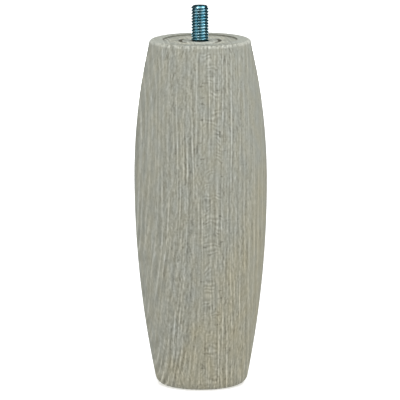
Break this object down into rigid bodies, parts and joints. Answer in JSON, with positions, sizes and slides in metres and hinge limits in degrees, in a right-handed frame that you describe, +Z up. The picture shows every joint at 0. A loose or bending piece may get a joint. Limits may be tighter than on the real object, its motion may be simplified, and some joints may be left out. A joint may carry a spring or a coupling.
{
  "type": "bed leg",
  "caption": "Olive-shaped turned wooden bed leg with a flat foot, a dished top face and a threaded steel stud that screws it to a bed frame.",
  "frame": {"origin": "centre of the foot, on the floor", "axes": "+Z up along the leg's turning axis, from the foot to the tip of the stud; X and Y lie level and are equal, because the leg is round"},
  "size_m": [0.0724, 0.0724, 0.2085],
  "materials": {
    "raw_beech": "matte",
    "zinc_plated_steel": "satin"
  },
  "bodies": {
    "root": {"turned_leg": "raw_beech", "hanger_bolt": "zinc_plated_steel"}
  },
  "joints": []
}
